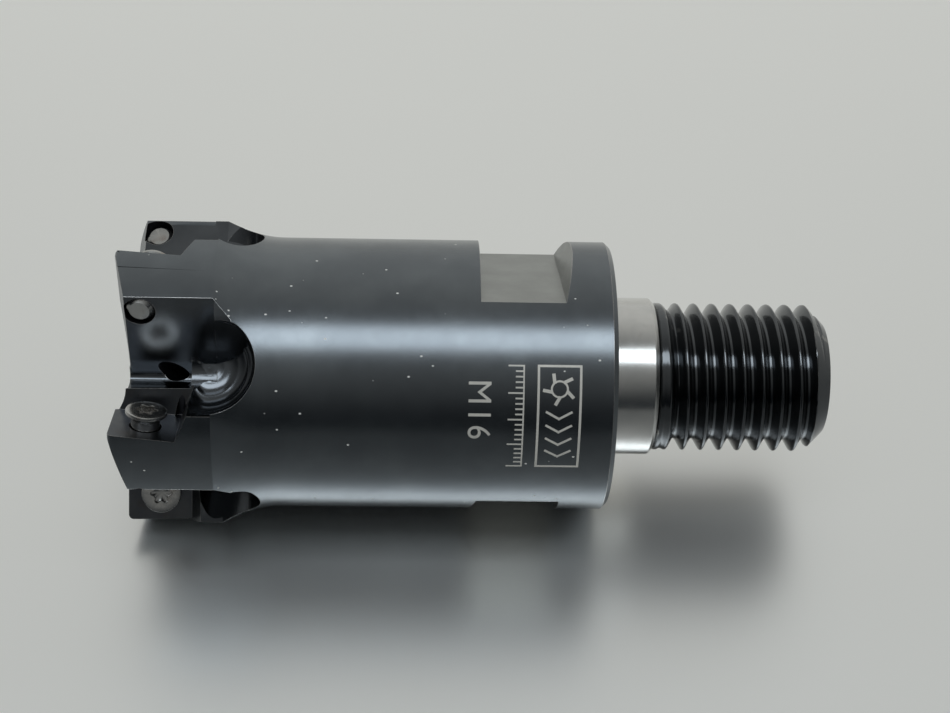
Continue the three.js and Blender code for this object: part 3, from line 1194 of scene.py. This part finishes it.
    def corner_facet(self, tooth: int) -> bpy.types.Object:
        """The slanting facet between a tooth's trailing face and the bowl behind it.

        Args:
            tooth: The tooth that it is cut on.

        Returns:
            The cutter, turned to its place.
        """
        near = self.trailing_offsets[tooth] + 0.001
        start, end = self.land_end_x - 1, self.land_end_x + self.facet_run
        outline = [(start, near), (self.land_end_x, near), (end, near + self.facet_width)]
        far = near + self.facet_depth
        outline += [(end, far), (start, far)]
        inner, outer = self.facet_span
        build = bmesh.new()
        low = [build.verts.new((x, -behind, inner)) for x, behind in outline]
        high = [build.verts.new((x, -behind, outer)) for x, behind in outline]
        close_prism(build, low, high)
        facet = mesh_object("corner_facet", build, OXIDE_GULLET)
        return move(facet, turn(FIRST_SEAT_ANGLE + tooth * TOOTH_PITCH))

    def seat_pocket(self) -> bpy.types.Object:
        """The pocket over the seat floor, with its two leaning walls."""
        seat = self.seat
        front = seat.axial_length - self.pocket_reach
        top = seat.inner_radius + self.pocket_width
        build = bmesh.new()
        rings = []
        for rise in (0.0, self.pocket_height):
            far = seat.axial_length + rise * math.tan(math.radians(seat.axial_wall_lean))
            near = seat.inner_radius - rise * math.tan(math.radians(seat.back_wall_lean))
            corners = ((front, near), (far, near), (far, top), (front, top))
            rings.append([build.verts.new((x, rise, out)) for x, out in corners])
        close_prism(build, *rings)
        pocket = mesh_object("seat_pocket", build, OXIDE_SEAT)
        return move(pocket, seat.to_tooth())

    def drill(
        self, name: str, radius: float, x: float, low: float, high: float, out: float
    ) -> bpy.types.Object:
        """A round cutter standing square to the seat floor.

        Args:
            name: The cutter's name.
            radius: Its radius.
            x: Its place along the floor.
            low: Its lower end, measured up from the floor.
            high: Its upper end.
            out: Its place outwards from the tool axis.

        Returns:
            The cutter, in the tooth's frame.
        """
        profile = [(low, 0.0), (low, radius), (high, radius), (high, 0.0)]
        rod = lathe(name, profile, 48, OXIDE_HOLE)
        stand = Matrix.Rotation(math.radians(90), 4, "Z")
        place = Matrix.Translation((x, 0, out))
        return move(rod, self.seat.to_tooth() @ place @ stand)

    def screw_hole(self) -> bpy.types.Object:
        """The hole through the tooth for its screw."""
        x, out = self.seat.screw_setback, self.seat.screw_radius_out
        return self.drill("screw_hole", self.hole_radius, x, *self.hole_span, out)

    def corner_relief(self) -> bpy.types.Object:
        """The small drilled relief in the corner between the two walls."""
        x, out = self.seat.axial_length - 0.1, self.seat.inner_radius + 0.1
        radius = self.corner_relief_radius
        return self.drill("corner_relief", radius, x, *self.corner_relief_span, out)

    def front_relief(self) -> bpy.types.Object:
        """The slope that drops the front of a tooth behind its cutting edge."""
        size = Vector(self.end_relief_size)
        build = bmesh.new()
        bmesh.ops.create_cube(build, size=1.0, matrix=Matrix.Diagonal((*size, 1)))
        box = mesh_object("front_relief", build, OXIDE_LAND)
        rise = size.z / 2 + self.seat.inner_radius - self.end_relief_drop
        shift = Matrix.Translation((-size.x / 2, -size.y / 2, rise))
        lean = Matrix.Rotation(math.radians(self.end_relief), 4, "Z")
        place = Matrix.Translation((self.seat.front_x, -self.seat.floor_setback, 0))
        return move(box, place @ lean @ shift)

    def outlet(self) -> bpy.types.Object:
        """The coolant duct from the bore into a gullet."""
        start = Vector((self.outlet_start_x, 0, 0))
        end = Vector((self.outlet_end[0], 0, self.outlet_end[1]))
        length = (end - start).length + self.outlet_overrun
        radius = self.outlet_radius
        profile = [(0.0, 0.0), (0.0, radius), (length, radius), (length, 0.0)]
        duct = lathe("outlet", profile, 40, OXIDE_HOLE)
        aim = Vector((1, 0, 0)).rotation_difference(end - start).to_matrix().to_4x4()
        return move(duct, turn(self.outlet_angle) @ Matrix.Translation(start) @ aim)

    def back_chamfer(self, tooth: int) -> bpy.types.Object:
        """The chamfer along the trailing edge of a land.

        Args:
            tooth: The tooth that it is cut on.

        Returns:
            The cutter, turned to its place.
        """
        behind = self.trailing_offsets[tooth]
        out = math.sqrt(self.land_radius**2 - behind**2)
        reach = self.trailing_chamfer
        low = (out - reach, behind)
        slope = Vector((reach, -reach * self.trailing_slope))
        top = (low[0] + 4 * slope.x, low[1] + 4 * slope.y)
        outline = [(low[0], behind + 0.4), low, top, (top[0], behind + 0.4)]
        front = self.seat.front_x - 1
        wedge = prism("back_chamfer", outline, front, self.trailing_end_x, OXIDE_LAND)
        return move(wedge, turn(FIRST_SEAT_ANGLE + tooth * TOOTH_PITCH))

    def wrench_flat(self, lean_at_end: bool) -> bpy.types.Object:
        """A cutter for one wrench flat, with one upright and one leaning wall."""
        rise = 6.0
        lean = rise * math.tan(math.radians(self.flat_lean))
        low = self.flat_half_width
        outline = [
            (self.flat_start_x, low),
            (self.flat_end_x, low),
            (self.flat_end_x + (lean if lean_at_end else 0), low + rise),
            (self.flat_start_x - (0 if lean_at_end else lean), low + rise),
        ]
        build = bmesh.new()
        near = [build.verts.new((x, -20, z)) for x, z in outline]
        far = [build.verts.new((x, 20, z)) for x, z in outline]
        close_prism(build, near, far)
        cutter = mesh_object("wrench_flat", build, OXIDE_FLAT)
        angle = self.flat_angle if lean_at_end else self.flat_angle + 180
        return move(cutter, turn(angle))

    def bore(self) -> bpy.types.Object:
        """The central bore, open at the shoulder end."""
        end, radius = self.bore_end_x, self.bore_radius
        profile = [(end, 0.0), (end, radius), (1.0, radius), (1.0, 0.0)]
        return lathe("bore", profile, 48, OXIDE_HOLE)

    def build(self, layout: Layout, ring: RingOfCopies) -> bpy.types.Object:
        """Cuts the blank and dresses it.

        Args:
            layout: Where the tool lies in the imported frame.
            ring: The tree that copies a cutter round the axis.

        Returns:
            The finished body.
        """
        body = self.blank()
        for tooth in range(TEETH):
            carve(body, [self.gullet(tooth, self.gullet_fillet, self.land_end_x)])
            carve(body, [self.gullet(tooth, self.slot_fillet, self.slot_end_x)])
            carve(body, [self.corner_facet(tooth), self.bowl(tooth)])
        carve(body, [self.back_chamfer(0)])
        masters = [
            self.front_relief(),
            self.outlet(),
            self.seat_pocket(),
            self.corner_relief(),
            self.screw_hole(),
        ]
        for master in masters:
            values = {
                "Solid": master,
                "Count": TEETH,
                "First Angle": math.radians(FIRST_SEAT_ANGLE),
                "Finish": master.data.materials[0],
            }
            cutters = ring.run(master.name + "_ring", values)
            bpy.data.objects.remove(master)
            carve(body, [cutters])
        carve(body, [self.wrench_flat(True), self.wrench_flat(False), self.bore()])
        break_edges(body, self.edge_width, WORN_EDGE)
        return self.finish(
            body, layout, BODY, "oxide_body", ("cutter_head", "body_shank"), 24
        )


@dataclass
class PilotCollar(Assembly):
    """The bright ground pilot between the shoulder and the thread."""

    radius: float = 8.5
    length: float = 5.0
    chamfer: float = 0.45
    bore_radius: float = 2.5

    def build(self, layout: Layout) -> bpy.types.Object:
        """Turns the collar and dresses it."""
        x = self.length - self.chamfer
        profile = [(0.0, 0.0), (0.0, self.radius - 0.12), (0.12, self.radius)]
        profile += [(x, self.radius), (self.length, self.radius - self.chamfer)]
        profile.append((self.length, 0.0))
        collar = lathe("ground_collar", profile, 192, GROUND_PILOT)
        reach = [(-1.0, 0.0), (-1.0, self.bore_radius), (7.0, self.bore_radius), (7.0, 0.0)]
        carve(collar, [lathe("bore", reach, 48, OXIDE_HOLE)])
        break_edges(collar, 0.05, GROUND_PILOT)
        return self.finish(collar, layout, BODY, "ground_pilot", ("pilot_collar",))


@dataclass
class ThreadedStub(Assembly):
    """The blackened M16 thread that screws into the holder."""

    start: float = 5.0
    end: float = 23.5
    radius: float = 8.0
    pitch: float = 2.0
    depth: float = 1.227
    end_chamfer: float = 1.9
    bore_radius: float = 2.5
    crest_x: float = 7.53
    crest_angle: float = -49.5
    facets: int = 180

    def core(self) -> bpy.types.Object:
        """The two end faces and the bore, open where the thread's skin joins."""
        rim = self.radius - self.end_chamfer
        profile = [
            (self.start, self.radius - 0.3),
            (self.start, self.bore_radius),
            (self.end - 0.4, self.bore_radius),
            (self.end, self.bore_radius + 0.4),
            (self.end, rim - 0.4),
            (self.end, rim),
        ]
        return lathe("stub_core", profile, self.facets, OXIDE_THREAD)

    def build(self, layout: Layout, thread: HelicalThread) -> bpy.types.Object:
        """Makes the thread's skin, joins the ends to it and dresses it."""
        core = self.core()
        values = {
            "Core": core,
            "Major Radius": self.radius,
            "Pitch": self.pitch,
            "Depth": self.depth,
            "Start": self.start,
            "End": self.end,
            "Run In": 1.6,
            "Start Chamfer": 0.3,
            "End Chamfer": self.end_chamfer,
            "Crest Place": self.crest_x - self.pitch * self.crest_angle / 360,
            "Facets": self.facets,
            "Finish": OXIDE_THREAD.material(),
        }
        stub = thread.run("tool_thread", values)
        bpy.data.objects.remove(core)
        outward(stub)
        return self.finish(stub, layout, BODY, "oxide_thread", ("threaded_stub",), 40)


@dataclass
class SeatScrews(Assembly):
    """The five insert screws, each standing in its empty seat."""

    seat: Seat = Seat()
    radius: float = 1.5
    head_radius: float = 2.12
    top: float = 1.85
    bottom: float = -5.7
    head_start: float = 0.85
    pitch: float = 0.45
    thread_depth: float = 0.2
    thread_end: float = -1.2
    socket_outer: float = 1.12
    socket_inner: float = 0.8
    socket_depth: float = 0.95
    facets: int = 72

    def core(self) -> bpy.types.Object:
        """The plain shank and head above the thread, and the flat tip."""
        profile = [
            (self.thread_end, self.radius - 0.25),
            (self.thread_end + 0.15, self.radius - 0.02),
            (self.head_start, self.radius - 0.02),
            (self.top - 0.38, self.head_radius),
            (self.top - 0.16, self.head_radius),
            (self.top - 0.06, self.head_radius - 0.05),
            (self.top, self.head_radius - 0.17),
            (self.top, 1.5),
            (self.top, 0.0),
        ]
        head = lathe("screw_core", profile, self.facets, SCREW_STEEL)
        tip = lathe(
            "screw_tip",
            [(self.bottom, 0.0), (self.bottom, self.radius - 0.45)],
            self.facets,
            SCREW_STEEL,
        )
        return join([head, tip])

    def socket(self) -> bpy.types.Object:
        """The six-lobed drive socket's cutter."""
        build = bmesh.new()
        steps = 72
        floor = self.top - self.socket_depth
        rings = []
        for height, share in ((floor, 1.0), (self.top - 0.1, 1.0), (self.top + 0.5, 1.35)):
            ring = []
            for i in range(steps):
                angle = 2 * math.pi * i / steps
                wave = (1 + math.cos(6 * angle)) / 2
                wave = wave * wave * (3 - 2 * wave)
                reach = self.socket_inner + (self.socket_outer - self.socket_inner) * wave
                reach *= share
                point = (height, reach * math.cos(angle), reach * math.sin(angle))
                ring.append(build.verts.new(point))
            rings.append(ring)
        apex = build.verts.new((floor - 0.22, 0, 0))
        for i in range(steps):
            j = (i + 1) % steps
            build.faces.new([apex, rings[0][i], rings[0][j]])
            for near, far in zip(rings, rings[1:]):
                build.faces.new([near[i], near[j], far[j], far[i]])
        build.faces.new(rings[-1])
        return mesh_object("socket", build, SCREW_STEEL)

    def master(self, thread: HelicalThread) -> bpy.types.Object:
        """One screw, standing along Y with the seat floor at y = 0."""
        core = self.core()
        values = {
            "Core": core,
            "Major Radius": self.radius,
            "Pitch": self.pitch,
            "Depth": self.thread_depth,
            "Start": self.bottom,
            "End": self.thread_end,
            "Run In": 0.3,
            "Start Chamfer": 0.45,
            "End Chamfer": 0.25,
            "Crest Place": 0.0,
            "Facets": self.facets,
            "Finish": SCREW_STEEL.material(),
        }
        screw = thread.run("screw_master", values)
        bpy.data.objects.remove(core)
        outward(screw)
        carve(screw, [self.socket()])
        return move(screw, Matrix.Rotation(math.radians(90), 4, "Z"))

    def build(
        self, layout: Layout, thread: HelicalThread, seated: SeatedScrew
    ) -> list[bpy.types.Object]:
        """Makes the master and sets a copy of it into every seat.

        Args:
            layout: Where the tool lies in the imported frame.
            thread: The tree that makes the screw's thread.
            seated: The tree that sets a screw into its seat.

        Returns:
            The five screws.
        """
        master = self.master(thread)
        screws = []
        for i in range(TEETH):
            values = {
                "Screw": master,
                "Seat Angle": math.radians(FIRST_SEAT_ANGLE + i * TOOTH_PITCH),
                "Along": self.seat.front_x + self.seat.screw_setback,
                "Behind": self.seat.floor_setback,
                "Outward": self.seat.screw_radius_out,
                "Axial Rake": math.radians(self.seat.axial_rake),
                "Finish": SCREW_STEEL.material(),
            }
            screw = seated.run(f"seat_screw_{i + 1}", values)
            node = f"insert_screw_{i + 1}"
            self.finish(screw, layout, f"screw_{i + 1}", "screw_steel", (node,), 35)
            screws.append(screw)
        bpy.data.objects.remove(master)
        return screws


@dataclass
class LaserMarks(Assembly):
    """Plain workshop marks on the neck: a framed cutter symbol, ticks and a size."""

    neck_radius: float = 14.5
    height: float = 0.012
    sunk: float = 0.05
    stroke: float = 0.24
    start_angle: float = 37.0
    end_angle: float = 81.0
    frame_span: Point2 = (-8.2, -3.9)
    scale_x: float = -9.7
    text_place: Point2 = (-15.3, 1.4)

    def plate(self, name: str, outlines: Sequence[Sequence[Point2]]) -> bpy.types.Object:
        """A flat mark made of filled outlines.

        Args:
            name: The mark's name.
            outlines: Closed outlines (x along the axis, y round it).

        Returns:
            A thin plate.
        """
        build = bmesh.new()
        for outline in outlines:
            low = [build.verts.new((x, y, -self.sunk)) for x, y in outline]
            high = [build.verts.new((x, y, self.height)) for x, y in outline]
            close_prism(build, low, high)
        return mesh_object(name, build, LASER_MARK)

    def bar(self, start: Point2, end: Point2, width: float | None = None) -> list[list[Point2]]:
        """A straight stroke cut into short pieces, so that it can bend.

        Args:
            start: Where it starts.
            end: Where it ends.
            width: Its width, or the usual stroke.

        Returns:
            Closed outlines.
        """
        half = (width or self.stroke) / 2
        first, last = Vector(start), Vector(end)
        along = (last - first).normalized()
        side = Vector((-along.y, along.x)) * half
        first -= along * half
        last += along * half
        steps = max(1, round((last - first).length / 0.8))
        pieces = []
        for i in range(steps):
            a = first.lerp(last, i / steps)
            b = first.lerp(last, (i + 1) / steps)
            pieces.append([tuple(a - side), tuple(b - side), tuple(b + side), tuple(a + side)])
        return pieces

    def symbol(self) -> list[list[Point2]]:
        """The framed symbol: five teeth round a ring, and a row of chevrons."""
        length = self.neck_radius * math.radians(self.end_angle - self.start_angle)
        left, right = self.frame_span
        shapes = []
        corners = [(left, 0.0), (right, 0.0), (right, length), (left, length)]
        for a, b in zip(corners, corners[1:] + corners[:1]):
            shapes += self.bar(a, b)
        middle, level = (left + right) / 2, 2.35

        def spot(radius: float, angle: float) -> Point2:
            """The point at a radius and an angle about the ring's centre."""
            return middle + radius * math.cos(angle), level + radius * math.sin(angle)

        pieces = 40
        for i in range(pieces):
            a = 2 * math.pi * i / pieces
            b = 2 * math.pi * (i + 1) / pieces
            shapes.append([spot(0.72, a), spot(0.72, b), spot(0.92, b), spot(0.92, a)])
        for i in range(TEETH):
            angle = math.radians(90 + i * TOOTH_PITCH)
            shapes += self.bar(spot(0.9, angle), spot(1.55, angle + 0.22), 0.34)
        for i in range(4):
            foot, peak = 4.75 + 1.45 * i, 5.45 + 1.45 * i
            for side in (-1.25, 1.25):
                ends = [(middle + side, foot), (middle, peak)]
                shapes += self.bar(*(ends if side < 0 else ends[::-1]), 0.24)
        return shapes

    def scale(self) -> list[list[Point2]]:
        """A row of ticks, with every fifth one longer."""
        shapes = []
        length = self.neck_radius * math.radians(self.end_angle - self.start_angle)
        for i in range(21):
            y = length * i / 20
            reach = 1.5 if i % 5 == 0 else 0.75
            shapes += self.bar((self.scale_x, y), (self.scale_x - reach, y), 0.17)
        shapes += self.bar((self.scale_x, 0.0), (self.scale_x, length), 0.15)
        return shapes

    def size_text(self) -> bpy.types.Object:
        """The thread size, M16, as a flat mesh read along the circumference."""
        curve_depth = 0.03
        curve = bpy.data.curves.new("thread_size", "FONT")
        curve.body = "M16"
        curve.size = 3.4
        curve.extrude = curve_depth
        curve.offset = -0.012
        curve.space_character = 1.12
        text = bpy.data.objects.new("thread_size", curve)
        bpy.context.scene.collection.objects.link(text)
        graph = bpy.context.evaluated_depsgraph_get()
        mesh = bpy.data.meshes.new_from_object(text.evaluated_get(graph))
        bpy.data.objects.remove(text)
        mesh.materials.clear()
        mesh.materials.append(LASER_MARK.material())
        flat = new_object("thread_size", mesh)
        x, y = self.text_place
        z = self.height - curve_depth
        return move(flat, Matrix(((0, 1, 0, x), (1, 0, 0, y), (0, 0, 1, z), (0, 0, 0, 1))))

    def build(self, layout: Layout, wrap: WrapOnNeck) -> list[bpy.types.Object]:
        """Wraps every mark on the neck and dresses it."""
        flats = [
            self.plate("mark_symbol", self.symbol()),
            self.plate("mark_scale", self.scale()),
            self.size_text(),
        ]
        marks = []
        for flat in flats:
            values = {
                "Mark": flat,
                "Radius": self.neck_radius,
                "Angle": math.radians(self.start_angle),
                "Finish": LASER_MARK.material(),
            }
            mark = wrap.run(flat.name + "_wrapped", values)
            bpy.data.objects.remove(flat)
            outward(mark)
            self.finish(mark, layout, BODY, "oxide_body")
            marks.append(mark)
        return marks


@dataclass
class Studio:
    """The bench, the lights, the world and the camera."""

    elevation: float = 49.5
    camera_along: float = -21.76
    camera_distance: float = 204.45
    yaw: float = -2.128
    pitch: float = -0.528
    roll: float = -0.731
    lens: float = 71.21

    def view_basis(self) -> Matrix:
        """Axes of the viewing direction: along the tool, up the image, to the camera."""
        e = math.radians(self.elevation)
        return Matrix(
            ((1, 0, 0), (0, math.sin(e), -math.cos(e)), (0, math.cos(e), math.sin(e)))
        )

    def bench(self) -> bpy.types.Object:
        """A wide plain bench top."""
        build = bmesh.new()
        bmesh.ops.create_grid(build, x_segments=1, y_segments=1, size=3.0)
        top = mesh_object("bench", build, BenchFinish())
        if top.data.polygons[0].normal.z < 0:
            top.data.flip_normals()
        return top

    def camera(self, layout: Layout) -> bpy.types.Object:
        """The camera, aimed at the tool."""
        basis = self.view_basis()
        yaw = Matrix.Rotation(math.radians(self.yaw), 3, "Y").transposed()
        pitch = Matrix.Rotation(math.radians(self.pitch), 3, "X")
        roll = Matrix.Rotation(math.radians(self.roll), 3, "Z")
        axes = basis @ (roll @ pitch @ yaw).transposed()
        local = Vector((self.camera_along, 0, self.camera_distance))
        place = layout.to_frame() @ (basis @ local)
        data = bpy.data.cameras.new("camera")
        data.sensor_width = 36.0
        data.lens = self.lens
        data.clip_start = 0.005
        data.clip_end = 20.0
        camera = bpy.data.objects.new("camera", data)
        camera.matrix_world = Matrix.Translation(place) @ axes.to_4x4()
        bpy.context.scene.collection.objects.link(camera)
        bpy.context.scene.camera = camera
        return camera

    def softbox(
        self,
        name: str,
        place: tuple[float, float, float],
        size: tuple[float, float],
        power: float,
        colour: Colour,
        target: tuple[float, float, float] = (0.0, 0.0, 0.0),
    ) -> bpy.types.Object:
        """A rectangular soft light aimed at the tool.

        Args:
            name: The light's name.
            place: Where it stands, in metres.
            size: Its width and height, in metres.
            power: Its power, in watts.
            colour: Its colour.
            target: The point that it faces.

        Returns:
            The light.
        """
        data = bpy.data.lights.new(name, "AREA")
        data.shape = "RECTANGLE"
        data.size, data.size_y = size
        data.energy = power
        data.color = colour
        light = bpy.data.objects.new(name, data)
        light.location = place
        aim = Vector(target) - Vector(place)
        light.rotation_euler = aim.to_track_quat("-Z", "Y").to_euler()
        bpy.context.scene.collection.objects.link(light)
        return light

    def world(self) -> None:
        """A dim surround, paler towards the back and, less so, high up in front."""
        world = bpy.data.worlds.new("surround")
        world.use_nodes = True
        bpy.context.scene.world = world
        book = NodeBook(world.node_tree)
        direction = book.add("ShaderNodeTexCoord", None, None, "Generated")
        _, back, up = book.split(direction)
        overhead = up.step(0.1, 1.0) * back.step(0.2, -0.3)
        glow = (back.step(-0.45, 1.1) + overhead * 0.4).function("MINIMUM", 1.0)
        colour = book.mix(glow, (0.02, 0.024, 0.028), (0.68, 0.69, 0.67))
        shader = book.node(
            "ShaderNodeBackground", None, {"Color": colour, "Strength": 1.0}
        )
        book.node("ShaderNodeOutputWorld", None, {"Surface": shader.outputs[0]})

    def build(self, layout: Layout) -> None:
        """Sets up everything round the tool."""
        self.bench()
        self.camera(layout)
        self.softbox("overhead", (0, -0.1, 0.5), (0.7, 0.16), 1.3, (0.86, 0.94, 1.0))
        self.world()
        bpy.context.scene.view_settings.view_transform = "Standard"


def join(pieces: Sequence[bpy.types.Object]) -> bpy.types.Object:
    """Joins several objects' meshes into the first one."""
    build = bmesh.new()
    for piece in pieces:
        build.from_mesh(piece.data)
    build.to_mesh(pieces[0].data)
    build.free()
    for piece in pieces[1:]:
        bpy.data.objects.remove(piece)
    return pieces[0]


def outward(piece: bpy.types.Object) -> bpy.types.Object:
    """Turns a closed piece's faces outwards."""
    build = bmesh.new()
    build.from_mesh(piece.data)
    bmesh.ops.recalc_face_normals(build, faces=build.faces[:])
    build.to_mesh(piece.data)
    build.free()
    return piece


def main() -> None:
    """Builds the tool, its marks and its setting."""
    layout = Layout.from_frame()
    thread = HelicalThread()
    Studio().build(layout)
    CutterBody().build(layout, RingOfCopies())
    PilotCollar().build(layout)
    ThreadedStub().build(layout, thread)
    SeatScrews().build(layout, thread, SeatedScrew())
    LaserMarks().build(layout, WrapOnNeck())


if __name__ == "__main__":
    main()
